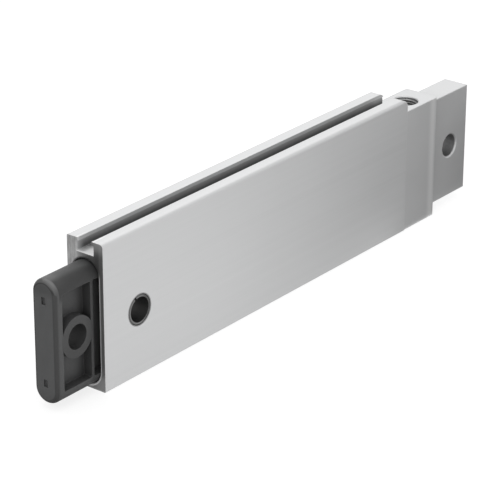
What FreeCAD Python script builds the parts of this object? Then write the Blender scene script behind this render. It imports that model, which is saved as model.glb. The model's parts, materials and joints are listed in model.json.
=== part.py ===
import FreeCAD, Part
import os
import Sketcher
from math import pi, sqrt

# Flat single-acting cylinder with a moulded plunger, a sensor slot and a port in the rear cap.
# X runs along the stroke towards the rear cap, Y across the flat sides, Z up to the sensor slot.
# The origin is the middle of the front mounting sleeve.

# Driving sizes in millimetres
SIZES = {
    # extruded barrel
    "barrel_length": 154.0,
    "bore_width": 10.0,
    "bore_height": 40.5,
    "side_wall": 1.95,
    "bottom_wall": 1.35,
    "near_top_radius": 2.4,
    "far_top_radius": 0.5,
    "bottom_edge_radius": 0.4,
    "bore_mouth_chamfer": 0.3,
    # sensor slot on the barrel's top
    "slot_web": 1.75,
    "slot_depth": 4.4,
    "slot_mouth": 5.4,
    "slot_width": 6.9,
    "slot_lip": 1.2,
    "slot_end_radius": 3.0,
    # slotted sleeve of the front mount
    "sleeve_inset": 16.0,
    "sleeve_diameter": 10.0,
    "sleeve_wall": 0.9,
    "sleeve_gap": 0.7,
    "sleeve_gap_angle": 24.0,
    "sleeve_chamfer": 0.3,
    "sleeve_fit": 0.02,
    # rear cap
    "cap_setback": 0.5,
    "cap_length": 18.5,
    "cap_height": 43.2,
    "cap_edge_radius": 1.0,
    "lug_thickness": 9.2,
    "lug_height": 38.1,
    "lug_lift": 0.55,
    "lug_eye_offset": 11.1,
    "lug_eye_margin": 10.1,
    "lug_eye_diameter": 8.0,
    "lug_edge_chamfer": 0.4,
    "spigot_length": 12.0,
    "spigot_clearance": 0.08,
    # threaded port and the passage from it to the bore
    "port_diameter": 8.57,
    "port_depth": 10.0,
    "port_inset": 8.6,
    "port_chamfer": 0.3,
    "passage_diameter": 4.0,
    "passage_floor": 0.8,
    # seal and pins that hold the cap in the barrel
    "cap_groove_inset": 2.6,
    "cap_groove_width": 2.2,
    "cap_groove_depth": 1.5,
    "cap_seal_play": 0.05,
    "cap_pin_diameter": 3.0,
    "cap_pin_depth": 5.0,
    "cap_pin_inset": 4.0,
    "upper_pin_sink": 1.0,
    "pin_fit": 0.02,
    # rubber cushion on the cap's spigot
    "cushion_height": 24.0,
    "cushion_width": 6.0,
    "cushion_sunk": 0.8,
    "cushion_proud": 1.4,
    "cushion_fit": 0.05,
    "rest_gap": 0.2,
    # moulded plunger
    "plunger_clearance": 0.2,
    "plunger_reach": 18.2,
    "plunger_end_radius": 1.6,
    "plunger_eye_inset": 8.9,
    "plunger_eye_diameter": 8.0,
    "plunger_boss_diameter": 13.2,
    "plunger_web": 3.0,
    "front_border": 2.7,
    "front_recess_length": 12.2,
    "front_rib": 1.0,
    "recess_rim": 4.4,
    "recess_corner_radius": 0.6,
    "cell_rib": 1.6,
    "cell_count": 5,
    "end_mark_width": 1.6,
    "end_mark_height": 2.4,
    "end_mark_depth": 0.6,
    "end_mark_offset": 13.3,
    # slot in the plunger that the sleeve and the spring run in
    "sleeve_play": 0.3,
    "sleeve_front_gap": 2.0,
    "slot_wall": 1.6,
    "slot_corner_radius": 1.0,
    "stroke": 40.0,
    "stroke_stop_gap": 0.3,
    # piston end of the plunger
    "piston_length": 26.0,
    "band_inset": 10.0,
    "band_width": 6.0,
    "band_thickness": 1.2,
    "band_bore_play": 0.05,
    "band_slit": 0.5,
    "band_fit": 0.03,
    "magnet_inset": 6.0,
    "magnet_diameter": 6.0,
    "magnet_thickness": 3.0,
    "magnet_cover": 0.3,
    "magnet_fit": 0.05,
    "seal_width": 6.0,
    "seal_section": 2.5,
    "seal_bore_play": 0.04,
    "seal_lip_depth": 2.6,
    "seal_lip_wall": 0.7,
    "seal_fit": 0.03,
    "plate_thickness": 3.0,
    "plate_bore_play": 0.4,
    # countersunk screws of the piston plate
    "screw_diameter": 2.5,
    "screw_head_diameter": 4.7,
    "screw_spacing": 20.0,
    "screw_grip": 8.0,
    "screw_socket": 1.5,
    "screw_socket_depth": 1.0,
    "screw_fit": 0.03,
    # return spring with its rod and seat
    "spring_diameter": 8.7,
    "spring_wire": 0.8,
    "spring_turns": 8.0,
    "spring_end_gap": 0.05,
    "rod_diameter": 5.0,
    "rod_grip": 10.0,
    "rod_chamfer": 0.5,
    "rod_fit": 0.02,
    "seat_start": 3.0,
    "seat_length": 6.0,
    "seat_play": 0.3,
    "seat_spigot_diameter": 6.5,
    "seat_spigot_length": 4.0,
    "seat_sleeve_fit": 0.05,
}

doc = FreeCAD.newDocument("FlatCylinder")
sheet = doc.addObject("Spreadsheet::Sheet", "Sizes")
for row, (name, number) in enumerate(SIZES.items(), start=1):
    sheet.set(f"A{row}", name)
    sheet.set(f"B{row}", str(number))
    sheet.setAlias(f"B{row}", name)
doc.recompute()


class Size:
    """A size that carries its number and the formula that ties it to the sheet."""

    def __init__(self, number, formula):
        self.number = number
        self.formula = formula

    def __add__(self, other):
        other = as_size(other)
        return Size(self.number + other.number, f"({self.formula} + {other.formula})")

    def __sub__(self, other):
        other = as_size(other)
        return Size(self.number - other.number, f"({self.formula} - {other.formula})")

    def __mul__(self, factor):
        return Size(self.number * factor, f"({self.formula} * {factor})")

    def __truediv__(self, divisor):
        divisor = as_size(divisor)
        return Size(self.number / divisor.number, f"({self.formula} / {divisor.formula})")

    def __neg__(self):
        return self * -1


def as_size(value):
    return value if isinstance(value, Size) else Size(value, str(value))


class Sheet:
    """The sheet's cells, read by name."""

    def __getattr__(self, cell):
        return Size(SIZES[cell], f"Sizes.{cell}")


size = Sheet()

# Places along the stroke
barrel_front = -size.sleeve_inset
barrel_rear = barrel_front + size.barrel_length
cap_rear = barrel_rear + size.cap_length
lug_eye_x = cap_rear + size.lug_eye_offset
spigot_front = barrel_rear - size.spigot_length
cushion_front = spigot_front - size.cushion_proud
plate_rear = cushion_front - size.rest_gap
plate_front = plate_rear - size.plate_thickness
piston_shoulder = plate_front - size.seal_width
spring_wall = piston_shoulder - size.piston_length
plunger_front = barrel_front - size.plunger_reach
plunger_eye_x = plunger_front + size.plunger_eye_inset
seat_rear = size.seat_start + size.seat_length
seat_tip = seat_rear + size.seat_spigot_length
cap_pin_x = barrel_rear - size.cap_pin_inset
port_x = barrel_rear + size.port_inset

# Half widths and heights about the bore's axis
barrel_half = size.bore_width / 2 + size.side_wall
barrel_bottom = -(size.bore_height / 2 + size.bottom_wall)
slot_floor = size.bore_height / 2 + size.slot_web
barrel_top = slot_floor + size.slot_depth
cap_top = barrel_bottom + size.cap_height
plunger_half = size.bore_width / 2 - size.plunger_clearance
plunger_top = size.bore_height / 2 - size.plunger_clearance
recess_half = plunger_top - size.recess_rim
sleeve_slot_half = size.sleeve_diameter / 2 + size.sleeve_play
sleeve_slot_front = -(sleeve_slot_half + size.sleeve_front_gap)
sleeve_bore = size.sleeve_diameter / 2 - size.sleeve_wall

OVERSHOOT = 1.0


# Helpers for bodies, sketches and features


def bind(thing, prop, value):
    thing.setExpression(prop, as_size(value).formula)


def new_body(label):
    body = doc.addObject("PartDesign::Body", label)
    body.Label = label
    return body


def sketch_on(body, role, offset=0):
    """Sketch on one of the body's origin planes, set off along the plane's normal."""
    sketch = body.newObject("Sketcher::SketchObject", f"{body.Name}_sketch")
    plane = next(item for item in body.Origin.OriginFeatures if item.Role == role)
    sketch.AttachmentSupport = (plane, [""])
    sketch.MapMode = "FlatFace"
    bind(sketch, "AttachmentOffset.Base.z", offset)
    return sketch


def across(body, x):
    """Sketch square to the stroke at x, drawn in Y and Z."""
    return sketch_on(body, "YZ_Plane", x)


def side(body, depth=0):
    """Sketch on the flat side, drawn in X and Z, depth towards -Y."""
    return sketch_on(body, "XZ_Plane", depth)


def level(body, z):
    """Sketch seen from above at z, drawn in X and Y."""
    return sketch_on(body, "XY_Plane", z)


def point(pair):
    return FreeCAD.Vector(as_size(pair[0]).number, as_size(pair[1]).number, 0)


def fix(sketch, edge, end, pair):
    """Ties one end (or the centre, end 3) of an edge to a place on the sheet."""
    for kind, value in zip(("DistanceX", "DistanceY"), pair):
        value = as_size(value)
        constraint = Sketcher.Constraint(kind, -1, 1, edge, end, value.number)
        bind(sketch, f"Constraints[{sketch.addConstraint(constraint)}]", value)


def fix_radius(sketch, edge, radius):
    constraint = Sketcher.Constraint("Radius", edge, radius.number)
    bind(sketch, f"Constraints[{sketch.addConstraint(constraint)}]", radius)


def draw_outline(sketch, corners):
    """Closed outline of straight edges through the corners."""
    places = [point(corner) for corner in corners]
    edges = []
    for start, end in zip(places, places[1:] + places[:1]):
        edges.append(sketch.addGeometry(Part.LineSegment(start, end), False))
    for before, edge, corner in zip(edges[-1:] + edges[:-1], edges, corners):
        sketch.addConstraint(Sketcher.Constraint("Coincident", before, 2, edge, 1))
        fix(sketch, edge, 1, corner)
    return edges


def draw_rectangle(sketch, low, high):
    return draw_outline(sketch, [low, (high[0], low[1]), high, (low[0], high[1])])


def draw_circle(sketch, centre, radius):
    circle = Part.Circle(point(centre), FreeCAD.Vector(0, 0, 1), radius.number)
    edge = sketch.addGeometry(circle, False)
    fix(sketch, edge, 3, centre)
    fix_radius(sketch, edge, radius)


def draw_rounded(sketch, low, high, radius):
    """Rectangle with round corners: four arcs joined by four straight edges."""
    inner_low = (low[0] + radius, low[1] + radius)
    inner_high = (high[0] - radius, high[1] - radius)
    centres = [
        inner_low,
        (inner_high[0], inner_low[1]),
        inner_high,
        (inner_low[0], inner_high[1]),
    ]
    arcs = []
    for turn, centre in enumerate(centres):
        circle = Part.Circle(point(centre), FreeCAD.Vector(0, 0, 1), radius.number)
        arc = Part.ArcOfCircle(circle, (turn + 2) * pi / 2, (turn + 3) * pi / 2)
        arcs.append(sketch.addGeometry(arc, False))
        fix(sketch, arcs[-1], 3, centre)
    join_arcs(sketch, arcs, radius)


def draw_stadium(sketch, low, high, radius):
    """Upright stadium: half circles about the centres low and high, joined by straight sides."""
    arcs = []
    for turn, centre in enumerate((high, low)):
        circle = Part.Circle(point(centre), FreeCAD.Vector(0, 0, 1), radius.number)
        arc = Part.ArcOfCircle(circle, turn * pi, (turn + 1) * pi)
        arcs.append(sketch.addGeometry(arc, False))
        fix(sketch, arcs[-1], 3, centre)
    join_arcs(sketch, arcs, radius)


def join_arcs(sketch, arcs, radius):
    """Joins the arcs in order by tangent straight edges and gives them one radius."""
    fix_radius(sketch, arcs[0], radius)
    for arc in arcs[1:]:
        sketch.addConstraint(Sketcher.Constraint("Equal", arcs[0], arc))
    for arc, following in zip(arcs, arcs[1:] + arcs[:1]):
        start = sketch.Geometry[arc].EndPoint
        end = sketch.Geometry[following].StartPoint
        line = sketch.addGeometry(Part.LineSegment(start, end), False)
        sketch.addConstraint(Sketcher.Constraint("Tangent", arc, 2, line, 1))
        sketch.addConstraint(Sketcher.Constraint("Tangent", line, 2, following, 1))


def draw_bore_stadium(sketch, inset):
    """The bore's own stadium about the axis, drawn in by inset all round."""
    half_straight = (size.bore_height - size.bore_width) / 2
    draw_stadium(sketch, (0, -half_straight), (0, half_straight), size.bore_width / 2 - inset)


def add(body, kind, profile, length, sides="One side", flip=False):
    feature = body.newObject(f"PartDesign::{kind}", f"{body.Name}_{kind.lower()}")
    feature.Profile = profile
    feature.SideType = sides
    feature.Reversed = flip
    if length is None:
        feature.Type = "ThroughAll"
    else:
        bind(feature, "Length", length)
    before = 0 if body.Shape.isNull() else body.Shape.Volume
    doc.recompute()
    if abs(body.Shape.Volume - before) < 1e-6:
        raise RuntimeError(f"{feature.Name} changed nothing")
    return feature


def pad(body, sketch, length, sides="One side", flip=False):
    return add(body, "Pad", sketch, length, sides, flip)


def pocket(body, sketch, length=None, sides="One side", flip=False):
    return add(body, "Pocket", sketch, length, sides, flip)


def dress(body, kind, prop, value, wanted):
    """Fillet or chamfer on the edges of the body that the test wants."""
    base = body.Tip
    names = []
    for number, edge in enumerate(base.Shape.Edges, start=1):
        if wanted(edge.BoundBox):
            names.append(f"Edge{number}")
    feature = body.newObject(f"PartDesign::{kind}", f"{body.Name}_{kind.lower()}")
    feature.Base = (base, names)
    bind(feature, prop, value)
    doc.recompute()


def fillet(body, radius, wanted):
    dress(body, "Fillet", "Radius", radius, wanted)


def chamfer(body, length, wanted):
    dress(body, "Chamfer", "Size", length, wanted)


def near(first, second):
    return abs(first - as_size(second).number) < 1e-4


def at_x(box, x):
    return near(box.XMin, x) and near(box.XMax, x)


def at_y(box, y):
    return near(box.YMin, y) and near(box.YMax, y)


def at_z(box, z):
    return near(box.ZMin, z) and near(box.ZMax, z)


# Barrel: extruded profile with the stadium bore and the sensor slot


def make_barrel():
    body = new_body("barrel")
    mouth = size.slot_mouth / 2
    undercut = size.slot_width / 2
    lip = barrel_top - size.slot_lip
    right = [
        (barrel_half, barrel_bottom),
        (barrel_half, barrel_top),
        (mouth, barrel_top),
        (mouth, lip),
        (undercut, lip),
        (undercut, slot_floor),
    ]
    left = [(-y, z) for y, z in reversed(right)]
    profile = across(body, barrel_front)
    draw_outline(profile, right + left)
    draw_bore_stadium(profile, 0)
    pad(body, profile, size.barrel_length)

    def near_top(box):
        return at_y(box, -barrel_half) and at_z(box, barrel_top)

    def far_top(box):
        return at_y(box, barrel_half) and at_z(box, barrel_top)

    def bottom(box):
        outer = at_y(box, barrel_half) or at_y(box, -barrel_half)
        return outer and at_z(box, barrel_bottom)

    fillet(body, size.near_top_radius, near_top)
    fillet(body, size.far_top_radius, far_top)
    fillet(body, size.bottom_edge_radius, bottom)

    def bore_mouth(box):
        inside = box.ZMax < slot_floor.number and box.ZMin > barrel_bottom.number
        return at_x(box, barrel_front) and inside and abs(box.YMin) < barrel_half.number

    chamfer(body, size.bore_mouth_chamfer, bore_mouth)

    # rounded rear ends of the slot's walls
    radius = size.slot_end_radius
    start = (barrel_rear - radius, barrel_top)
    end = (barrel_rear, barrel_top - radius)
    sketch = side(body)
    edges = draw_outline(
        sketch,
        [
            start,
            (start[0], barrel_top + OVERSHOOT),
            (barrel_rear + OVERSHOOT, barrel_top + OVERSHOOT),
            (barrel_rear + OVERSHOOT, end[1]),
            end,
        ],
    )
    sketch.toggleConstruction(edges[-1])
    centre = (start[0], end[1])
    circle = Part.Circle(point(centre), FreeCAD.Vector(0, 0, 1), radius.number)
    arc = sketch.addGeometry(Part.ArcOfCircle(circle, 0, pi / 2), False)
    sketch.addConstraint(Sketcher.Constraint("Coincident", arc, 1, edges[-1], 1))
    sketch.addConstraint(Sketcher.Constraint("Coincident", arc, 2, edges[-1], 2))
    fix_radius(sketch, arc, radius)
    pocket(body, sketch, None, "Symmetric")

    # cross hole of the mounting sleeve and holes of the cap's pins
    hole = side(body)
    draw_circle(hole, (0, 0), size.sleeve_diameter / 2)
    pocket(body, hole, None, "Symmetric")
    pins = level(body, 0)
    draw_circle(pins, (cap_pin_x, 0), size.cap_pin_diameter / 2)
    pocket(body, pins, None, "Symmetric")
    return body


# Mounting sleeve: slotted spring sleeve right through the barrel


def make_mounting_sleeve():
    body = new_body("mounting_sleeve")
    outer = size.sleeve_diameter / 2 - size.sleeve_fit
    ring = side(body)
    draw_circle(ring, (0, 0), outer)
    draw_circle(ring, (0, 0), sleeve_bore)
    pad(body, ring, barrel_half * 2, "Symmetric")

    def outer_rim(box):
        round_edge = near(box.XMax, outer) or near(box.XMin, -outer)
        return round_edge and (at_y(box, barrel_half) or at_y(box, -barrel_half))

    chamfer(body, size.sleeve_chamfer, outer_rim)
    gap = side(body)
    bind(gap, "AttachmentOffset.Rotation.Angle", size.sleeve_gap_angle)
    half_gap = size.sleeve_gap / 2
    draw_rectangle(gap, (-half_gap, size.sleeve_wall), (half_gap, outer + OVERSHOOT))
    pocket(body, gap, None, "Symmetric")
    return body


# Rear cap: spigot, block with the port, and lug


def make_rear_cap():
    body = new_body("rear_cap")
    half_width = barrel_half - size.cap_setback
    block = across(body, barrel_rear)
    draw_rectangle(block, (-half_width, barrel_bottom), (half_width, cap_top))
    pad(body, block, size.cap_length)

    def rear_corner(box):
        upright = at_y(box, half_width) or at_y(box, -half_width)
        return upright and at_x(box, cap_rear)

    fillet(body, size.cap_edge_radius, rear_corner)

    spigot = across(body, barrel_rear)
    draw_bore_stadium(spigot, size.spigot_clearance)
    pad(body, spigot, size.spigot_length, flip=True)

    half_lug = size.lug_thickness / 2
    lug_top = size.lug_height / 2 + size.lug_lift
    lug_bottom = lug_top - size.lug_height
    lug = across(body, cap_rear)
    draw_rectangle(lug, (-half_lug, lug_bottom), (half_lug, lug_top))
    lug_end = lug_eye_x + size.lug_eye_margin
    pad(body, lug, size.lug_eye_offset + size.lug_eye_margin)
    eye = side(body)
    draw_circle(eye, (lug_eye_x, 0), size.lug_eye_diameter / 2)
    pocket(body, eye, None, "Symmetric")

    def lug_edge(box):
        on_side = at_y(box, half_lug) or at_y(box, -half_lug)
        eye_rim = near(box.XMin, lug_eye_x - size.lug_eye_diameter / 2)
        return (on_side and eye_rim) or at_x(box, lug_end)

    chamfer(body, size.lug_edge_chamfer, lug_edge)

    port = level(body, cap_top)
    draw_circle(port, (port_x, 0), size.port_diameter / 2)
    pocket(body, port, size.port_depth)

    def port_rim(box):
        return at_z(box, cap_top) and near(box.YMax, size.port_diameter / 2)

    chamfer(body, size.port_chamfer, port_rim)
    passage = across(body, spigot_front)
    radius = size.passage_diameter / 2
    height = cap_top - size.port_depth + size.passage_floor + radius
    draw_circle(passage, (0, height), radius)
    pocket(body, passage, size.spigot_length + size.port_inset, flip=True)

    groove = across(body, spigot_front + size.cap_groove_inset)
    draw_bore_stadium(groove, -OVERSHOOT)
    draw_bore_stadium(groove, size.cap_groove_depth)
    pocket(body, groove, size.cap_groove_width, flip=True)

    recess = across(body, spigot_front)
    draw_cushion(recess, size.cushion_fit)
    pocket(body, recess, size.cushion_sunk, flip=True)

    for top, flip in ((size.bore_height / 2, False), (-size.bore_height / 2, True)):
        pin = level(body, top)
        draw_circle(pin, (cap_pin_x, 0), size.cap_pin_diameter / 2)
        pocket(body, pin, size.cap_pin_depth, flip=flip)
    return body


def draw_cushion(sketch, margin):
    radius = size.cushion_width / 2 + margin
    half_straight = (size.cushion_height - size.cushion_width) / 2
    draw_stadium(sketch, (0, -half_straight), (0, half_straight), radius)


def make_end_cushion():
    body = new_body("end_cushion")
    sketch = across(body, cushion_front)
    draw_cushion(sketch, 0)
    pad(body, sketch, size.cushion_proud + size.cushion_sunk)
    return body


# Cap seal: ring of rectangular section in the groove of the spigot


def make_cap_seal():
    body = new_body("cap_seal")
    ring = across(body, spigot_front + size.cap_groove_inset + size.cap_seal_play)
    draw_bore_stadium(ring, size.cap_seal_play)
    draw_bore_stadium(ring, size.cap_groove_depth - size.cap_seal_play)
    pad(body, ring, size.cap_groove_width - size.cap_seal_play * 2)
    return body


def make_cap_pins():
    """Two short dowels: one sunk below the slot's floor, one flush with the bottom wall."""
    web_length = size.slot_web + size.cap_pin_depth - size.upper_pin_sink
    wall_length = size.bottom_wall + size.cap_pin_depth
    starts = (
        ("upper_cap_pin", size.bore_height / 2 - size.cap_pin_depth, web_length),
        ("lower_cap_pin", barrel_bottom, wall_length),
    )
    pins = []
    for label, bottom, length in starts:
        pin = doc.addObject("Part::Cylinder", label)
        bind(pin, "Radius", size.cap_pin_diameter / 2 - size.pin_fit)
        bind(pin, "Height", length)
        bind(pin, "Placement.Base.x", cap_pin_x)
        bind(pin, "Placement.Base.z", bottom)
        pins.append(pin)
    return group("cap_pins", pins)


def group(label, pieces):
    compound = doc.addObject("Part::Compound", label)
    compound.Label = label
    compound.Links = pieces
    doc.recompute()
    return compound


# Plunger: moulded flat bar with recessed sides, an eye at the front and the piston at the rear


def make_plunger():
    body = new_body("plunger")
    bar = across(body, plunger_front)
    draw_bore_stadium(bar, size.plunger_clearance)
    pad(body, bar, piston_shoulder - plunger_front)
    fillet(body, size.plunger_end_radius, lambda box: at_x(box, plunger_front))
    nose = across(body, piston_shoulder)
    draw_bore_stadium(nose, size.plunger_clearance + size.seal_section)
    pad(body, nose, size.seal_width)

    # recesses in both flat sides: the ribs, the rim and the slot's walls stay at full thickness
    for facing, flip in ((plunger_half, False), (-plunger_half, True)):
        cut_recesses(body, facing, flip)

    # eye boss across the front recess, then the eye and the slot of the sleeve and the spring
    boss = side(body)
    draw_circle(boss, (plunger_eye_x, 0), size.plunger_boss_diameter / 2)
    pad(body, boss, plunger_half * 2, "Symmetric")
    eye = side(body)
    draw_circle(eye, (plunger_eye_x, 0), size.plunger_eye_diameter / 2)
    pocket(body, eye, None, "Symmetric")
    slot = side(body)
    low = (sleeve_slot_front, -sleeve_slot_half)
    high = (spring_wall, sleeve_slot_half)
    draw_rounded(slot, low, high, size.slot_corner_radius)
    pocket(body, slot, None, "Symmetric")

    # moulding marks in the end face
    marks = across(body, plunger_front)
    half_width = size.end_mark_width / 2
    half_height = size.end_mark_height / 2
    for middle in (-size.end_mark_offset, size.end_mark_offset):
        low = (-half_width, middle - half_height)
        high = (half_width, middle + half_height)
        draw_rectangle(marks, low, high)
    pocket(body, marks, size.end_mark_depth, flip=True)

    # seats of the guide band, the magnet, the screws and the spring rod
    band = across(body, spring_wall + size.band_inset)
    draw_bore_stadium(band, -OVERSHOOT)
    draw_bore_stadium(band, size.band_bore_play + size.band_thickness + size.band_fit)
    pocket(body, band, size.band_width + size.band_fit * 2, flip=True)
    magnet = level(body, plunger_top)
    draw_circle(magnet, (magnet_x(), 0), size.magnet_diameter / 2 + size.magnet_fit)
    pocket(body, magnet, plunger_top - magnet_bottom() + size.magnet_fit)
    screws = across(body, plate_front)
    for middle in screw_heights():
        draw_circle(screws, (0, middle), size.screw_diameter / 2 + size.screw_fit)
    pocket(body, screws, size.screw_grip + OVERSHOOT)
    rod = across(body, spring_wall)
    draw_circle(rod, (0, 0), size.rod_diameter / 2 + size.rod_fit)
    pocket(body, rod, size.rod_grip, flip=True)
    return body


def cut_recesses(body, facing, flip):
    """Front recess, a second behind the front rib, and a row of cells on each side of the slot."""
    depth = plunger_half - size.plunger_web / 2
    front_start = plunger_front + size.front_border
    front_end = front_start + size.front_recess_length
    second_start = front_end + size.front_rib
    second_end = sleeve_slot_front - size.slot_wall
    recess = side(body, facing)
    for start, end in ((front_start, front_end), (second_start, second_end)):
        draw_rounded(recess, (start, -recess_half), (end, recess_half), size.recess_corner_radius)
    pocket(body, recess, depth, flip=flip)

    pitch = (spring_wall - sleeve_slot_front + size.cell_rib) / size.cell_count
    cell_end = sleeve_slot_front + pitch - size.cell_rib
    cell_low = sleeve_slot_half + size.slot_wall
    cell = side(body, facing)
    draw_rectangle(cell, (sleeve_slot_front, cell_low), (cell_end, recess_half))
    draw_rectangle(cell, (sleeve_slot_front, -recess_half), (cell_end, -cell_low))
    pair = pocket(body, cell, depth, flip=flip)
    row = body.newObject("PartDesign::LinearPattern", "plunger_cells")
    row.Originals = [pair]
    row.Direction = (cell, ["H_Axis"])
    bind(row, "Length", pitch * (SIZES["cell_count"] - 1))
    bind(row, "Occurrences", size.cell_count)
    body.Tip = row
    doc.recompute()


def magnet_x():
    return piston_shoulder - size.magnet_inset


def magnet_bottom():
    """The disc's top stays under the plunger's round edge, whose height falls with the disc's radius."""
    half_straight = (size.bore_height - size.bore_width) / 2
    radius = plunger_half
    reach = size.magnet_diameter / 2
    drop = radius.number - sqrt(radius.number**2 - reach.number**2)
    formula = f"({radius.formula} - sqrt({radius.formula} ^ 2 - {reach.formula} ^ 2))"
    top = half_straight + radius - Size(drop, formula) - size.magnet_cover
    return top - size.magnet_thickness


def screw_heights():
    return (-size.screw_spacing / 2, size.screw_spacing / 2)


# Bearing, magnet and seal on the piston end


def make_guide_band():
    body = new_body("guide_band")
    start = spring_wall + size.band_inset + size.band_fit
    strip = across(body, start)
    draw_bore_stadium(strip, size.band_bore_play)
    draw_bore_stadium(strip, size.band_bore_play + size.band_thickness)
    pad(body, strip, size.band_width)
    slit = across(body, start)
    half_slit = size.band_slit / 2
    bottom = -size.bore_height / 2
    draw_rectangle(slit, (-half_slit, bottom), (half_slit, bottom + size.band_thickness * 2))
    pocket(body, slit, size.band_width, flip=True)
    return body


def make_sensing_magnet():
    body = new_body("sensing_magnet")
    disc = level(body, magnet_bottom())
    draw_circle(disc, (magnet_x(), 0), size.magnet_diameter / 2)
    pad(body, disc, size.magnet_thickness)
    return body


def make_piston_seal():
    """Lip seal: the groove between its lips opens to the pressure side."""
    body = new_body("piston_seal")
    inner = size.plunger_clearance + size.seal_section - size.seal_fit
    ring = across(body, piston_shoulder)
    draw_bore_stadium(ring, size.seal_bore_play)
    draw_bore_stadium(ring, inner)
    pad(body, ring, size.seal_width)
    lips = across(body, plate_front)
    draw_bore_stadium(lips, size.seal_bore_play + size.seal_lip_wall)
    draw_bore_stadium(lips, inner - size.seal_lip_wall)
    pocket(body, lips, size.seal_lip_depth)
    return body


def make_piston_plate():
    body = new_body("piston_plate")
    plate = across(body, plate_front)
    draw_bore_stadium(plate, size.plate_bore_play)
    pad(body, plate, size.plate_thickness)
    holes = across(body, plate_front)
    hole_radius = size.screw_diameter / 2 + size.screw_fit
    for middle in screw_heights():
        draw_circle(holes, (0, middle), hole_radius)
    pocket(body, holes, size.plate_thickness, flip=True)

    def countersink(box):
        return at_x(box, plate_rear) and near(box.YMax, hole_radius)

    chamfer(body, (size.screw_head_diameter - size.screw_diameter) / 2, countersink)
    return body


def make_piston_screws():
    """Countersunk screws with hexagon sockets, flush with the piston plate."""
    head_length = (size.screw_head_diameter - size.screw_diameter) / 2
    shank_start = plate_front - size.screw_grip
    screws = []
    for number, middle in enumerate(screw_heights(), start=1):
        shank = doc.addObject("Part::Cylinder", f"screw_shank_{number}")
        bind(shank, "Radius", size.screw_diameter / 2)
        bind(shank, "Height", plate_rear - head_length - shank_start)
        head = doc.addObject("Part::Cone", f"screw_head_{number}")
        bind(head, "Radius1", size.screw_diameter / 2)
        bind(head, "Radius2", size.screw_head_diameter / 2)
        bind(head, "Height", head_length)
        socket = doc.addObject("Part::Prism", f"screw_socket_{number}")
        socket.Polygon = 6
        bind(socket, "Circumradius", size.screw_socket / 2)
        bind(socket, "Height", size.screw_socket_depth)
        places = (
            (shank, shank_start),
            (head, plate_rear - head_length),
            (socket, plate_rear - size.screw_socket_depth),
        )
        for piece, start in places:
            lie_along_stroke(piece, start, middle)
        blank = doc.addObject("Part::Fuse", f"screw_blank_{number}")
        blank.Base = shank
        blank.Tool = head
        screw = doc.addObject("Part::Cut", f"piston_screw_{number}")
        screw.Base = blank
        screw.Tool = socket
        screws.append(screw)
    return group("piston_screws", screws)


def lie_along_stroke(piece, x, z):
    piece.Placement.Rotation = FreeCAD.Rotation(FreeCAD.Vector(0, 1, 0), 90)
    bind(piece, "Placement.Base.x", x)
    bind(piece, "Placement.Base.z", z)


# Return spring with its seat on the sleeve and its rod in the plunger


def make_spring_seat():
    body = new_body("spring_seat")
    half_height = sleeve_slot_half - size.seat_play
    block = side(body)
    draw_rectangle(block, (size.seat_start, -half_height), (seat_rear, half_height))
    pad(body, block, size.bore_width - size.seat_play * 2, "Symmetric")
    saddle = side(body)
    draw_circle(saddle, (0, 0), size.sleeve_diameter / 2 + size.seat_sleeve_fit)
    pocket(body, saddle, None, "Symmetric")
    spigot = across(body, seat_rear)
    draw_circle(spigot, (0, 0), size.seat_spigot_diameter / 2)
    pad(body, spigot, size.seat_spigot_length)
    return body


def make_spring_rod():
    body = new_body("spring_rod")
    start = seat_tip + size.stroke + size.stroke_stop_gap
    section = across(body, start)
    draw_circle(section, (0, 0), size.rod_diameter / 2)
    pad(body, section, spring_wall + size.rod_grip - start)
    chamfer(body, size.rod_chamfer, lambda box: at_x(box, start))
    return body


def make_return_spring():
    """Coil between the seat and the wall of the plunger's slot, at its fitted length."""
    body = new_body("return_spring")
    wire = size.spring_wire / 2
    coil = size.spring_diameter / 2 - wire
    start = seat_rear + wire + size.spring_end_gap
    end = spring_wall - wire - size.spring_end_gap
    section = side(body)
    draw_rectangle(section, (start - wire, coil - wire), (start + wire, coil + wire))
    doc.recompute()
    helix = body.newObject("PartDesign::AdditiveHelix", "return_spring_helix")
    helix.Profile = section
    helix.ReferenceAxis = (section, ["H_Axis"])
    helix.Mode = "height-turns-growth"
    bind(helix, "Height", end - start)
    bind(helix, "Turns", size.spring_turns)
    doc.recompute()
    return body


def main():
    pieces = [
        make_barrel(),
        make_mounting_sleeve(),
        make_rear_cap(),
        make_cap_seal(),
        make_cap_pins(),
        make_end_cushion(),
        make_plunger(),
        make_guide_band(),
        make_sensing_magnet(),
        make_piston_seal(),
        make_piston_plate(),
        make_piston_screws(),
        make_spring_seat(),
        make_spring_rod(),
        make_return_spring(),
    ]
    doc.recompute()
    for item in doc.Objects:
        if {"Invalid", "Error"} & set(item.State):
            raise RuntimeError(f"{item.Name} failed: {item.State}")
    for piece in pieces:
        if piece.Shape.isNull() or not piece.Shape.isValid():
            raise RuntimeError(f"{piece.Label} has no valid shape")
    os.makedirs("parts", exist_ok=True)
    for piece in pieces:
        piece.Shape.exportStep(f"parts/{piece.Label}.step")
        print(piece.Label, len(piece.Shape.Solids), round(piece.Shape.Volume, 1))


main()
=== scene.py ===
import json
import math

import bmesh
import bpy
from mathutils import Matrix, Vector


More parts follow.
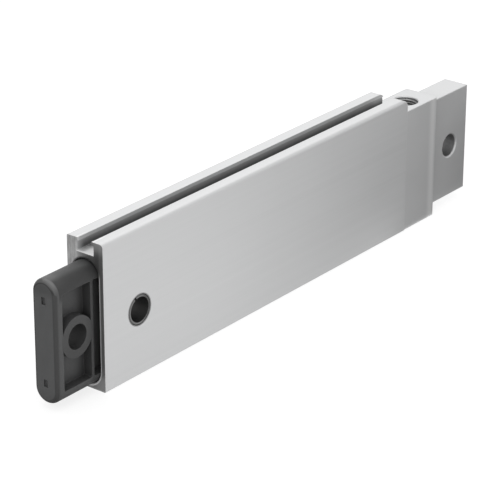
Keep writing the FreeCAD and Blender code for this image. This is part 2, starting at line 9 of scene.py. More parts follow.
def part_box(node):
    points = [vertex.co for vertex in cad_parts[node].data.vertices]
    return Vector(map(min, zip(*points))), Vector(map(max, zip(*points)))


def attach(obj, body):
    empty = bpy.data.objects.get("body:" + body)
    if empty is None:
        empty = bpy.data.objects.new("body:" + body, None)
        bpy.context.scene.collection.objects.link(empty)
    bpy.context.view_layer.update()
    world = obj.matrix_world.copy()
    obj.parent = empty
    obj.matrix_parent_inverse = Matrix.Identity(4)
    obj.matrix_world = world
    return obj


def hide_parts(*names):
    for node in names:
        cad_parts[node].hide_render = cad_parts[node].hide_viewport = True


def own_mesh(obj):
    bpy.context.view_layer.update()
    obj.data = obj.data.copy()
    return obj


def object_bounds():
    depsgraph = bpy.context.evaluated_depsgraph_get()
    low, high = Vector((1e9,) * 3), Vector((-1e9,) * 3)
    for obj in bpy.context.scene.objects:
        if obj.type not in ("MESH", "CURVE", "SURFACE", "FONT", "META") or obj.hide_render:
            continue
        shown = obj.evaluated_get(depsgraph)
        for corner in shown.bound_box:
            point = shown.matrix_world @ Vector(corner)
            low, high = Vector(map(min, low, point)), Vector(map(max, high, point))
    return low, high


# Looks of a flat spring-return cylinder: a finish for every piece, the barrel with its tight near top edge,
# the port's thread and the coiled spring, and then the studio and the camera.
# Metres, in the part's own frame: X along the stroke to the rear cap, -Y the near side, Z up to the slot.

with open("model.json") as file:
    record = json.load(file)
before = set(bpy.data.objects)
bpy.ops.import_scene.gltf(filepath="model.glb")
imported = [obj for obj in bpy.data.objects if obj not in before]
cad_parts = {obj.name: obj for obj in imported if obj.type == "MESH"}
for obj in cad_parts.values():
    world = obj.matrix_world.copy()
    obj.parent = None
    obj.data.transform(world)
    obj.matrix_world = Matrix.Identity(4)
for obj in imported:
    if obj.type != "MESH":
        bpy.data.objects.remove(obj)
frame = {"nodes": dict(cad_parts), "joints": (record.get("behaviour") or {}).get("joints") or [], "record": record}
cad_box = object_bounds()
nodes = frame["nodes"]
mounts = {mount["name"]: mount for mount in frame["record"]["mounts"]}

MM = 0.001
TURN = 2 * math.pi

# Port thread: half widths of its ridge in pitches, the ridge's foot in the wall in depths of the thread,
# gap and fade in turns
THREAD_PITCH = 0.907 * MM
THREAD_DEPTH = 0.34 * MM
THREAD_ROOT_HALF = 0.45
THREAD_CREST_HALF = 0.07
THREAD_FOOT = 0.1
THREAD_TOP_GAP = 0.5
THREAD_FADE = 0.5
THREAD_RUN_OUT = 0.5 * MM
THREAD_SEGMENTS = 56
THREAD_CREASE = math.radians(35)
PORT_CHAMFER = 0.3 * MM

# Return spring: the wire's middle stands SPRING_END_HEIGHT wires inside the ground end planes
SPRING_WIRE = 0.9 * MM
SPRING_TURNS = 27
SPRING_CLOSED_TURNS = 1.2
SPRING_END_HEIGHT = 0.25
SPRING_SEGMENTS = 36
SPRING_CREASE = math.radians(50)
WIRE_SIDES = 14

# The barrel's near top edge: the wide rounding of its solid, and the tighter one that is drawn out of it here
NEAR_EDGE_SOLID = 2.4 * MM
NEAR_EDGE_ROUND = 1.1 * MM
SLOT_END_ROUND = 3.0 * MM
BARREL_CREASE = math.radians(30)
MERGE_DISTANCE = 0.001 * MM

# Places on the pieces that a finish follows
SLOT_FLOOR = 22.0 * MM
SLOT_HALF = 3.45 * MM
SLOT_LIP = 25.2 * MM
BORE_HALF = 5.0 * MM
BORE_STRAIGHT = 15.25 * MM
BARREL_FRONT = -16.0 * MM
CAP_CORNER = 156.5 * MM
SLEEVE_EDGE = 5.0 * MM
PLUNGER_FRONT = -34.2 * MM
PLUNGER_HALF = 4.8 * MM
EYE_CENTRE = -25.3 * MM
EYE_RADIUS = 4.0 * MM
BOSS_RADIUS = 7.0 * MM
CELL_HALF = 15.0 * MM
RIB_FRONT = -19.3 * MM
RIB_REAR = -18.3 * MM

# How finely a finish looks for edges and recesses, and how sharply an edge stands out
EDGE_SAMPLES = 6
EDGE_CONTRAST = 14.0
RECESS_SAMPLES = 8

# Camera of the photograph
CAMERA_PLACE = Vector((-0.5074, -0.44765, 0.3201))
CAMERA_AIM = Vector((0.0313, -0.02405, 0.0133))
CAMERA_ROLL = math.radians(0.226)
CAMERA_LENS = 179.6
CAMERA_SENSOR = 36.0
CAMERA_CLIP = 0.01

# Studio: light of the white surround and of the floor, reach of floor and cards, and their gaps to the part
AMBIENT_LIGHT = 0.55
FLOOR_LIGHT = 0.78
FLOOR_HALF = 6.0
FLOOR_GAP = 0.3 * MM
CARD_GAP = 0.1 * MM
CARD_LEFT = -0.2
CARD_NEAR = -0.6
SIDE_CARD_RIGHT = 0.9
UPRIGHT_CARD_RIGHT = 1.4
UPRIGHT_CARD_TOP = 0.4
FRONT_CARD_GAP = 0.5 * MM
FRONT_CARD_LEFT = -0.5
FRONT_CARD_NEAR = -0.02
FRONT_CARD_FAR = 0.6
FRONT_CARD_LEVEL = 0.45

# Lamps: place, size and watts
LAMPS = {
    "back_softbox": ((0.75, 0.62, 0.75), 0.9, 1.3),
    "overhead_softbox": ((0.0, -0.1, 1.1), 1.05, 2.6),
    "front_fill": ((-1.05, -0.3, 0.45), 1.5, 4.8),
}

# The barrel's side mirrors slanting lines on the cards as upright ones: their run to the rear per metre nearer
MIRROR_SLANT = 0.72 / 0.56


# Node trees written as expressions


def find_socket(sockets, key):
    """Socket by its place in the row, its identifier or its name."""
    if isinstance(key, int):
        return sockets[key]
    for socket in sockets:
        if socket.identifier == key:
            return socket
    return sockets[key]


class Field:
    """A socket that varies over a piece. Sums, products and powers of fields add Math nodes."""

    def __init__(self, graph, socket):
        self.graph = graph
        self.socket = socket

    def pick(self, output):
        """Another output of the same node."""
        return Field(self.graph, find_socket(self.socket.node.outputs, output))

    def __add__(self, other):
        return self.graph.maths("ADD", self, other)

    def __radd__(self, other):
        return self.graph.maths("ADD", other, self)

    def __sub__(self, other):
        return self.graph.maths("SUBTRACT", self, other)

    def __rsub__(self, other):
        return self.graph.maths("SUBTRACT", other, self)

    def __mul__(self, other):
        return self.graph.maths("MULTIPLY", self, other)

    def __rmul__(self, other):
        return self.graph.maths("MULTIPLY", other, self)

    def __truediv__(self, other):
        return self.graph.maths("DIVIDE", self, other)

    def __pow__(self, power):
        return self.graph.maths("POWER", self, power)

    def __abs__(self):
        return self.graph.maths("ABSOLUTE", self)


class Graph:
    """A node tree that expressions add to."""

    def __init__(self, tree):
        self.tree = tree

    def node(self, kind, settings=None, inputs=None, output=0):
        """Adds a node, with its settings first and then its sockets' values or links."""
        made = self.tree.nodes.new(kind)
        for name, value in (settings or {}).items():
            setattr(made, name, value)
        for key, value in (inputs or {}).items():
            self.feed(find_socket(made.inputs, key), value)
        return Field(self, find_socket(made.outputs, output))

    def feed(self, socket, value):
        if isinstance(value, Field):
            self.tree.links.new(value.socket, socket)
        else:
            socket.default_value = value

    def maths(self, operation, *values):
        return self.node("ShaderNodeMath", {"operation": operation}, dict(enumerate(values)))

    def most(self, greatest, *others):
        """The greatest of several values."""
        for other in others:
            greatest = self.maths("MAXIMUM", greatest, other)
        return greatest

    def smooth(self, value, low, high):
        """0 below low, 1 above high and a smooth step between them."""
        settings = {"interpolation_type": "SMOOTHSTEP"}
        inputs = {"Value": value, "From Min": low, "From Max": high}
        return self.node("ShaderNodeMapRange", settings, inputs)

    def fade(self, value, low, high):
        """1 below low, 0 above high and a smooth step between them."""
        return 1 - self.smooth(value, low, high)


class Finish(Graph):
    """A material with one Principled shader, fed by expressions on Object coordinates."""

    def __init__(self, name):
        self.material = bpy.data.materials.new(name)
        self.material.use_nodes = True
        super().__init__(self.material.node_tree)
        self.shader = self.tree.nodes["Principled BSDF"]
        self.place = self.node("ShaderNodeTexCoord", output="Object")

    def axes(self):
        """Object coordinates X, Y and Z as three fields."""
        across = self.node("ShaderNodeSeparateXYZ", None, {"Vector": self.place}, output="X")
        return across, across.pick("Y"), across.pick("Z")

    def show(self, shader):
        """Gives the material another shader than the Principled one."""
        self.tree.nodes.remove(self.shader)
        self.feed(self.tree.nodes["Material Output"].inputs["Surface"], shader)

    def set(self, **sockets):
        """Values or fields for sockets of the Principled shader."""
        for name, value in sockets.items():
            self.feed(self.shader.inputs[name.replace("_", " ").title()], value)

    def stretched(self, x, y, z):
        """Object coordinates scaled along each axis, in repeats per metre."""
        return self.node("ShaderNodeMapping", None, {"Vector": self.place, "Scale": (x, y, z)})

    def noise(self, where, detail=2.0, roughness=0.5, scale=1.0):
        inputs = {"Vector": where, "Scale": scale, "Detail": detail, "Roughness": roughness}
        return self.node("ShaderNodeTexNoise", None, inputs)

    def even_noise(self, per_metre, detail=2.0, roughness=0.5):
        return self.noise(self.place, detail, roughness, per_metre)

    def bands(self, where, distortion):
        settings = {"wave_type": "BANDS", "wave_profile": "SIN"}
        inputs = {"Vector": where, "Scale": 1.0, "Distortion": distortion, "Detail": 2.0}
        return self.node("ShaderNodeTexWave", settings, inputs, output="Fac")

    def facing(self, axis):
        """Component of the surface's direction along X, Y or Z."""
        normal = self.node("ShaderNodeTexCoord", output="Normal")
        return self.node("ShaderNodeSeparateXYZ", None, {"Vector": normal}, output=axis)

    def mix(self, share, first, second):
        """Colour between two colours."""
        settings = {"data_type": "RGBA"}
        inputs = {"Factor_Float": share, "A_Color": first, "B_Color": second}
        return self.node("ShaderNodeMix", settings, inputs, output="Result_Color")

    def layered(self, colour, *layers):
        """Colour with layers over it, each given by its share and its own colour."""
        for share, layer in layers:
            colour = self.mix(share, colour, layer)
        return colour

    def rounded(self, width):
        """Surface direction with every edge softened over that width."""
        return self.node("ShaderNodeBevel", {"samples": EDGE_SAMPLES}, {"Radius": width})

    def edges(self, width):
        """1 along the edges within that width, 0 on flat and gently curved faces."""
        normal = self.node("ShaderNodeNewGeometry", output="Normal")
        settings = {"operation": "DOT_PRODUCT"}
        directions = {0: self.rounded(width), 1: normal}
        turned = self.node("ShaderNodeVectorMath", settings, directions, output="Value")
        return self.smooth((1 - turned) * EDGE_CONTRAST, 0.05, 1.0)

    def recess(self, reach, own_only=True):
        """1 deep in holes, slots and crevices narrower than the reach, 0 in the open."""
        settings = {"samples": RECESS_SAMPLES, "only_local": own_only}
        return 1 - self.node("ShaderNodeAmbientOcclusion", settings, {"Distance": reach}, output="AO")

    def bump(self, height, depth, edge_width=0.15 * MM):
        """Surface direction with the height's relief, on edges softened over the edge width."""
        softened = self.rounded(edge_width)
        inputs = {"Height": height, "Distance": depth, "Strength": 1.0, "Normal": softened}
        return self.node("ShaderNodeBump", None, inputs)


def grey(level, warmth=0.0):
    """Neutral colour, a little warmer above 0 and cooler below."""
    return (level * (1 + warmth), level, level * (1 - warmth), 1)


def distance(across, up):
    """Distance from an axis, as a field of the two offsets from it."""
    return (across * across + up * up) ** 0.5


# Finishes


def satin_anodised():
    """Barrel: satin anodised extrusion with die lines along the stroke and sawn ends."""
    finish = Finish("satin_anodised_barrel")
    die_lines = finish.noise(finish.stretched(3, 700, 700), detail=3)
    fine_lines = finish.noise(finish.stretched(12, 5200, 5200), detail=2)
    etch = finish.even_noise(9000, detail=3, roughness=0.7)
    handling = finish.even_noise(38, detail=4, roughness=0.6)
    endwise = abs(finish.facing("X"))
    on_end = finish.smooth(endwise, 0.5, 0.6)
    sawn = finish.smooth(endwise, 0.92, 0.99)
    x, y, z = finish.axes()
    from_front = x - BARREL_FRONT

    # slot along the top: painted shade low on its walls, less at the mouth; painted highlights on its floor at the
    # mouth, held back by a painted shadow near the far wall, and on the far wall's front edge
    above_floor = finish.smooth(z, SLOT_FLOOR - 0.2 * MM, SLOT_FLOOR)
    in_slot = above_floor * finish.fade(abs(y), SLOT_HALF, SLOT_HALF + 0.1 * MM)
    slot_wall = in_slot * finish.smooth(abs(finish.facing("Y")), 0.5, 0.7)
    slot_floor = in_slot * finish.smooth(finish.facing("Z"), 0.6, 0.8)
    slot_lip = finish.smooth(z, SLOT_LIP - 0.3 * MM, SLOT_LIP + 0.2 * MM)
    slot_rim_highlight = slot_wall * finish.fade(from_front, 0.4 * MM, 1.3 * MM) * 0.6
    slot_mouth = above_floor * finish.fade(from_front, 0.5 * MM, 4 * MM)
    floor_mouth = slot_floor * finish.fade(from_front, 2.5 * MM, 6.5 * MM)
    far_floor = finish.smooth(y, 0.3 * MM, 1.8 * MM) * finish.smooth(from_front, 0.5 * MM, 1.2 * MM)
    slot_mouth_highlight = floor_mouth * (1 - 0.7 * far_floor)
    low_slot_shade = slot_wall * finish.fade(z, SLOT_FLOOR + 0.4 * MM, SLOT_FLOOR + 3.6 * MM)

    # front end: a painted highlight along the bore's lower edge, painted shade in the gap above the plunger and in
    # the seam round the sleeve
    from_bore = distance(y, finish.most(abs(z) - BORE_STRAIGHT, 0.0)) - BORE_HALF
    bore_edge_highlight = on_end * finish.fade(from_bore, 0.5 * MM, 0.85 * MM)
    bore_edge_highlight = bore_edge_highlight * finish.fade(z, 14.5 * MM, 17.5 * MM) * finish.fade(from_front, 1 * MM, 2 * MM)
    bore_gap_shade = on_end * finish.fade(from_bore, 0.4 * MM, 0.8 * MM) * finish.smooth(z, 15.5 * MM, 18 * MM)
    sleeve_seam_shade = finish.fade(distance(x, z), SLEEVE_EDGE + 0.15 * MM, SLEEVE_EDGE + 0.4 * MM)

    shade = finish.recess(3.5 * MM) * (0.8 - 0.8 * slot_lip) * (1 - 0.6 * sawn)
    shade = finish.most(shade, low_slot_shade) * (1 - 0.85 * slot_mouth) * (1 - 0.9 * floor_mouth)
    shade = finish.most(shade, sleeve_seam_shade * 0.75, bore_gap_shade * 0.95)
    # edges lighter for wear and as painted highlights, joined by the painted highlights at the slot and the bore
    wear_and_highlight = finish.most(finish.edges(0.12 * MM) * 0.7, bore_edge_highlight, slot_mouth_highlight, slot_rim_highlight)
    pale_wear_and_highlight = finish.most(wear_and_highlight * 0.7, slot_mouth_highlight, bore_edge_highlight * 0.9)

    # drawn skin
    streak = 0.5 * die_lines + 0.3 * fine_lines + 0.2 * handling
    skin = finish.mix(streak, grey(0.56, -0.006), grey(0.66, -0.004))
    # painted highlight on the upper part of the slot's walls
    skin = finish.mix(slot_wall * slot_lip * 0.4, skin, grey(0.8))

    # sawn faces, with painted shade that darkens them towards the near side
    saw_marks = finish.bands(finish.stretched(10, 420, 900), distortion=1.5)
    saw_streaks = finish.noise(finish.stretched(10, 1300, 220), detail=4, roughness=0.7)
    saw_streaks = finish.smooth(saw_streaks, 0.35, 0.65)
    cut = finish.mix(saw_marks * 0.2 + etch * 0.2 + saw_streaks * 0.6, grey(0.36), grey(0.70))
    cut = finish.mix(finish.fade(y, 0.5 * MM, 3.5 * MM), cut, grey(0.26))
    near_cut = finish.mix(finish.smooth(z, 10 * MM, 19 * MM), grey(0.32), grey(0.21))
    near_cut = finish.mix(finish.smooth(z, 21.5 * MM, 25 * MM), near_cut, grey(0.36))
    cut = finish.mix(finish.fade(y, -4.5 * MM, -2.5 * MM), cut, near_cut)
    near_wall = sawn * finish.fade(y, -5.7 * MM, -5.0 * MM) * (1 - wear_and_highlight)

    body = finish.mix(shade, finish.mix(sawn, skin, cut), grey(0.14))
    dulled = 0.6 * wear_and_highlight + 0.25 * slot_mouth_highlight + 0.06 * sawn * (1 - wear_and_highlight) + 0.26 * near_wall
    finish.set(
        base_color=finish.mix(pale_wear_and_highlight, body, grey(0.88)),
        metallic=1 - dulled - 0.45 * slot_wall * slot_lip,
        roughness=0.36 + 0.10 * etch + 0.06 * die_lines + 0.08 * handling - 0.17 * sawn,
        normal=finish.bump(0.5 * fine_lines + 0.3 * die_lines + 0.4 * etch + sawn * saw_marks, 0.010 * MM),
    )
    return finish.material


def milled_aluminium():
    """Rear cap and piston plate: face-milled aluminium with shallow cutter arcs, then anodised."""
    finish = Finish("milled_anodised_cap")
    arcs = finish.bands(finish.stretched(1500, 400, 260), distortion=3.0)
    etch = finish.even_noise(8000, detail=3, roughness=0.7)
    handling = finish.even_noise(60, detail=4, roughness=0.6)
    wear_and_highlight = finish.edges(0.15 * MM)
    shade = finish.recess(9 * MM)
    x, _, _ = finish.axes()
    from_corner = x - CAP_CORNER
    # painted highlight in a band along the cap's near corner
    corner = finish.smooth(from_corner, -5.4 * MM, -2.4 * MM) * finish.fade(from_corner, -2.2 * MM, -0.2 * MM)
    corner_highlight = corner * finish.smooth(abs(finish.facing("Y")), 0.4, 0.7)
    tone = 0.35 * arcs + 0.3 * etch + 0.35 * handling
    skin = finish.mix(tone, grey(0.54, -0.006), grey(0.64, -0.004))
    skin = finish.mix(corner_highlight * 0.6, skin, grey(0.8))
    body = finish.mix(shade, skin, grey(0.03))
    finish.set(
        base_color=finish.mix(wear_and_highlight * 0.6, body, grey(0.85)),
        metallic=1 - 0.5 * wear_and_highlight,
        roughness=0.36 + 0.10 * etch + 0.05 * arcs + 0.08 * handling,
        normal=finish.bump(0.4 * arcs + 0.6 * etch, 0.010 * MM, edge_width=0.5 * MM),
    )
    return finish.material


def tapped_aluminium():
    """Thread of the port: cut metal with a mottled film of oil, painted shade in the roots and painted highlights
    on the crests.
    """
    finish = Finish("tapped_port_thread")
    chatter = finish.even_noise(2600, detail=3)
    oil = finish.even_noise(900, detail=4, roughness=0.6)
    crest = finish.edges(0.12 * MM)
    shade = finish.recess(2.5 * MM, own_only=False)
    flank = finish.mix(0.5 * chatter + 0.5 * oil, grey(0.2), grey(0.3))
    body = finish.mix(shade, flank, grey(0.03))
    finish.set(
        base_color=finish.mix(crest * 0.6, body, grey(0.7)),
        metallic=1 - 0.4 * crest,
        roughness=0.3 + 0.1 * chatter + 0.1 * oil,
        normal=finish.bump(chatter, 0.008 * MM, edge_width=0.06 * MM),
    )
    return finish.material


def strip_steel():
    """Mounting sleeve: rolled spring strip, darker where the mill skin is left."""
    finish = Finish("rolled_sleeve_steel")
    rolling = finish.noise(finish.stretched(600, 4200, 600), detail=3)
    mill_skin = finish.even_noise(420, detail=5, roughness=0.65)
    wear_and_highlight = finish.edges(0.1 * MM)
    crevice = finish.smooth(finish.recess(1.2 * MM, own_only=False), 0.1, 0.5)
    inside = finish.smooth(finish.recess(8 * MM), 0.1, 0.6)
    faced = finish.smooth(abs(finish.facing("Y")), 0.85, 0.97)
    x, _, z = finish.axes()
    # end ring: painted shade on its outer chamfer and on its rear half
    outer = finish.smooth(distance(x, z), SLEEVE_EDGE - 0.6 * MM, SLEEVE_EDGE - 0.25 * MM)
    ring = finish.mix(outer, grey(0.2), grey(0.08))
    ring = finish.mix(finish.smooth(x, 0.5 * MM, 3.0 * MM), ring, grey(0.09))
    skin = finish.mix(0.5 * rolling + 0.5 * mill_skin, grey(0.06, 0.01), grey(0.12, 0.005))
    skin = finish.mix(faced, skin, ring)
    # crevices and the inside of the hole are painted a set grey that stands for their shade
    body = finish.mix(finish.most(crevice * (1 - faced), inside), skin, grey(0.15))
    finish.set(
        base_color=finish.mix(wear_and_highlight * 0.3, body, grey(0.45)),
        metallic=1.0,
        roughness=0.36 + 0.16 * mill_skin + 0.06 * rolling - 0.08 * wear_and_highlight,
        normal=finish.bump(rolling, 0.006 * MM, edge_width=0.08 * MM),
    )
    return finish.material


def moulded_plastic():
    """Plunger: dark glass-filled nylon with a fine spark-eroded texture and faint flow streaks."""
    finish = Finish("moulded_plunger_plastic")
    texture = finish.even_noise(5200, detail=3, roughness=0.6)
    flow = finish.noise(finish.stretched(60, 240, 110), detail=4, roughness=0.6)
    fibres = finish.noise(finish.stretched(900, 5200, 5200), detail=2)
    wear_and_highlight = finish.edges(0.35 * MM)
    endwise = abs(finish.facing("X"))
    upper = finish.smooth(finish.facing("Z"), 0.05, 0.2)
    far_side = finish.smooth(finish.facing("Y"), 0.0, 0.25)
    x, y, z = finish.axes()
    from_end = x - PLUNGER_FRONT
    from_barrel = x - BARREL_FRONT

    # rounded end: painted shade along its edge all round and on the top of its face, painted highlights on a rim
    # behind its top and on its crown
    at_end = finish.fade(from_end, 1.4 * MM, 1.8 * MM)
    crest = finish.smooth(endwise, 0.70 - 0.45 * far_side, 0.90 - 0.35 * far_side)
    rounding = upper * crest + (1 - upper) * finish.smooth(endwise, 0.25, 0.6)
    rounding = rounding * finish.fade(endwise, 0.975, 0.998) * at_end
    rim = finish.smooth(endwise, 0.08, 0.25) * finish.fade(endwise, 0.5, 0.7) * at_end
    rim = rim * finish.smooth(finish.facing("Z"), 0.45, 0.8) * (1 - far_side)
    crown_highlight = finish.fade(from_end, 2.5 * MM, 7 * MM) * finish.smooth(z, 16 * MM, 19 * MM)
    end_top = finish.smooth(endwise, 0.9, 0.98) * at_end * finish.smooth(z, 13.5 * MM, 18.5 * MM)

    # sides: painted shade on the upper near flank, on the first rib and along the length by the barrel's mouth;
    # painted light in the cell behind the rib
    flank = finish.fade(finish.facing("Y"), -0.6, -0.15) * finish.smooth(z, 12.5 * MM, 15 * MM)
    flank = flank * (1 - at_end)
    behind_rib = finish.smooth(x, RIB_REAR - 0.1 * MM, RIB_REAR + 0.1 * MM)
    rib = finish.smooth(x, RIB_FRONT - 0.1 * MM, RIB_FRONT + 0.1 * MM) * (1 - behind_rib)
    rib = rib * finish.smooth(abs(finish.facing("Y")), 0.8, 0.95)
    in_cell = behind_rib * finish.fade(abs(y), PLUNGER_HALF - 0.3 * MM, PLUNGER_HALF - 0.1 * MM)
    in_cell = in_cell * finish.fade(abs(z), CELL_HALF, CELL_HALF + 1 * MM)
    painted_cell_light = in_cell * finish.fade(from_barrel, 1 * MM, 6 * MM)
    barrel_mouth_shade = finish.smooth(from_barrel, -7 * MM, -1 * MM) * (1 - in_cell)
    darker = finish.most(flank * 0.75, rib * 0.6, barrel_mouth_shade * 0.45, end_top * 0.6)

    # eye and its boss: painted shade on the eye's wall and over the boss, more towards its bottom
    from_eye = distance(x - EYE_CENTRE, z)
    eye_wall = finish.fade(from_eye, EYE_RADIUS - 0.1 * MM, EYE_RADIUS + 0.2 * MM)
    boss = finish.fade(from_eye, BOSS_RADIUS - 0.4 * MM, BOSS_RADIUS)
    boss = boss * (0.36 + 0.2 * finish.fade(z, -5 * MM, 1 * MM))
    shade = finish.most(finish.recess(7 * MM, own_only=False) * 0.7, eye_wall) * (1 - painted_cell_light)

    body = finish.mix(0.6 * flow + 0.4 * fibres, grey(0.052, -0.01), grey(0.096, -0.01))
    body = finish.layered(
        body,
        (rounding * (0.7 + 0.3 * upper), grey(0.02)),
        (rim * 0.8, grey(0.27)),
        (crown_highlight * 0.7, grey(0.14)),
        (darker, grey(0.012)),
        (painted_cell_light, grey(0.13)),
        (finish.most(shade, boss), grey(0.012)),
        (wear_and_highlight * 0.4 * (1 - rounding) * (1 - rib), grey(0.11)),
    )
    finish.set(
        base_color=body,
        metallic=rounding * upper * 0.8,
        roughness=0.44 + 0.14 * texture + 0.12 * flow - 0.06 * wear_and_highlight,
        normal=finish.bump(0.7 * texture + 0.3 * fibres, 0.030 * MM, edge_width=0.3 * MM),
    )
    return finish.material


def bearing_plastic():
    """Guide band and spring seat: natural bearing plastic with a filler's fleck and turning lines."""
    finish = Finish("natural_bearing_plastic")
    fleck = finish.smooth(finish.even_noise(2600, detail=3, roughness=0.7), 0.52, 0.66)
    turning = finish.bands(finish.stretched(3200, 40, 40), distortion=0.8)
    handling = finish.even_noise(140, detail=3)
    body = finish.mix(handling, grey(0.62, 0.07), grey(0.72, 0.06))
    finish.set(
        base_color=finish.mix(fleck * 0.5, body, grey(0.40, 0.10)),
        metallic=0.0,
        roughness=0.42 + 0.10 * turning + 0.10 * handling,
        normal=finish.bump(0.6 * turning + 0.4 * fleck, 0.012 * MM),
    )
    return finish.material


def seal_rubber():
    """Seals and cushion: moulded black rubber with a matt bloom."""
    finish = Finish("black_seal_rubber")
    grain = finish.even_noise(4200, detail=3, roughness=0.6)
    bloom = finish.even_noise(320, detail=4, roughness=0.6)
    wear_and_highlight = finish.edges(0.2 * MM)
    body = finish.mix(bloom, grey(0.014), grey(0.032))
    finish.set(
        base_color=finish.mix(wear_and_highlight * 0.5, body, grey(0.05)),
        metallic=0.0,
        roughness=0.52 + 0.18 * bloom + 0.12 * grain,
        normal=finish.bump(grain, 0.02 * MM),
    )
    return finish.material


def nickel_plating():
    """Sensing magnet: nickel-plated disc with fine tumbling scratches."""
    finish = Finish("nickel_plated_magnet")
    scratches = finish.noise(finish.stretched(7000, 900, 7000), detail=3)
    haze = finish.even_noise(900, detail=4)
    wear_and_highlight = finish.edges(0.2 * MM)
    body = finish.mix(0.5 * scratches + 0.5 * haze, grey(0.52, 0.03), grey(0.66, 0.025))
    finish.set(
        base_color=finish.mix(wear_and_highlight * 0.5, body, grey(0.78, 0.02)),
        metallic=1.0,
        roughness=0.16 + 0.12 * scratches + 0.10 * haze,
        normal=finish.bump(scratches, 0.004 * MM),
    )
    return finish.material


def turned_steel():
    """Screws, pins and spring rod: turned steel with fine lines and a thin oil haze."""
    finish = Finish("turned_fastener_steel")
    turning = finish.bands(finish.stretched(3600, 30, 30), distortion=0.6)
    haze = finish.even_noise(700, detail=4, roughness=0.6)
    wear_and_highlight = finish.edges(0.2 * MM)
    body = finish.mix(0.5 * turning + 0.5 * haze, grey(0.36, -0.01), grey(0.50, -0.005))
    finish.set(
        base_color=finish.mix(wear_and_highlight * 0.6, body, grey(0.7)),
        metallic=1.0,
        roughness=0.26 + 0.10 * turning + 0.12 * haze,
        normal=finish.bump(turning, 0.005 * MM),
    )
    return finish.material


def drawn_wire():
    """Return spring: drawn wire, its die lines following the coil by the piece's own attributes."""
    finish = Finish("drawn_spring_wire")
    along = finish.node("ShaderNodeAttribute", {"attribute_name": "along_wire"}, output="Fac")
    around = finish.node("ShaderNodeAttribute", {"attribute_name": "around_wire"}, output="Fac")
    where = finish.node("ShaderNodeCombineXYZ", None, {"X": along * 40, "Y": around * 30})
    drawing = finish.noise(where, detail=3)
    haze = finish.even_noise(600, detail=4, roughness=0.6)
    finish.set(
        base_color=finish.mix(0.6 * drawing + 0.4 * haze, grey(0.30, -0.01), grey(0.46, -0.005)),
        metallic=1.0,
        roughness=0.28 + 0.14 * drawing + 0.10 * haze,
        normal=finish.bump(drawing, 0.004 * MM, edge_width=0.05 * MM),
    )
    return finish.material


FINISHES = {
    "anodised_aluminium": satin_anodised(),
    "cap_aluminium": milled_aluminium(),
    "sleeve_steel": strip_steel(),
    "plunger_plastic": moulded_plastic(),
    "bearing_plastic": bearing_plastic(),
    "seal_rubber": seal_rubber(),
    "magnet_plating": nickel_plating(),
    "fastener_steel": turned_steel(),
    "spring_steel": drawn_wire(),
}

for node in nodes.values():
    for place in node.material_slots:
        place.material = FINISHES[place.material.name]


# Objects and their meshes


def new_object(name, data):
    thing = bpy.data.objects.new(name, data)
    bpy.context.scene.collection.objects.link(thing)
    return thing


def result_mesh(thing, name):
    """What an object's modifiers make of it, as a plain mesh."""
    result = thing.evaluated_get(bpy.context.evaluated_depsgraph_get())
    mesh = bpy.data.meshes.new_from_object(result)
    mesh.name = name
    return mesh


# Barrel with the near edge of the real extrusion


def draw_out(across, up):
    """Factor that takes a point of the solid's rounding, from its centre, out to the tighter rounding."""
    reach = math.hypot(across, up)
    flat = NEAR_EDGE_SOLID - NEAR_EDGE_ROUND
    if min(across, up) * NEAR_EDGE_SOLID <= flat * max(across, up):
        return NEAR_EDGE_SOLID / max(across, up)
    along = flat * (across + up) / reach
    return (along + math.sqrt(along ** 2 - 2 * flat ** 2 + NEAR_EDGE_ROUND ** 2)) / reach


def crisp_barrel():
    """Barrel whose near top edge is tighter than its solid's, with the slot's rounded rear end kept."""
    low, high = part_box("barrel")
    centre_y = low.y + NEAR_EDGE_SOLID
    centre_z = high.z - NEAR_EDGE_SOLID
    end_x = high.x - SLOT_END_ROUND
    end_z = high.z - SLOT_END_ROUND
    work = bmesh.new()
    work.from_mesh(nodes["barrel"].data)
    bmesh.ops.remove_doubles(work, verts=work.verts, dist=MERGE_DISTANCE)
    for point in work.verts:
        across = centre_y - point.co.y
        up = point.co.z - centre_z
        if across > 0 and up > 0:
            factor = draw_out(across, up)
            point.co.y = centre_y - across * factor
            point.co.z = centre_z + up * factor
            if point.co.x > end_x:
                reach_squared = SLOT_END_ROUND ** 2 - (point.co.z - end_z) ** 2
                point.co.x = end_x + math.sqrt(max(reach_squared, 0.0))
    mesh = bpy.data.meshes.new("barrel_unshaded")
    work.to_mesh(mesh)
    work.free()
    solid_normals = mesh.attributes.get("custom_normal")
    if solid_normals:
        mesh.attributes.remove(solid_normals)
    mesh.shade_smooth()
    mesh.set_sharp_from_angle(angle=BARREL_CREASE)
    mesh.materials.append(FINISHES["anodised_aluminium"])

    barrel = new_object("barrel_extrusion", mesh)
    even = barrel.modifiers.new("even_shading", "WEIGHTED_NORMAL")
    even.keep_sharp = True
    barrel.data = result_mesh(barrel, "barrel_extrusion")
    barrel.modifiers.clear()
    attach(barrel, "housing")
    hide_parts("barrel")


# Pieces that follow a helix, grown by Geometry Nodes


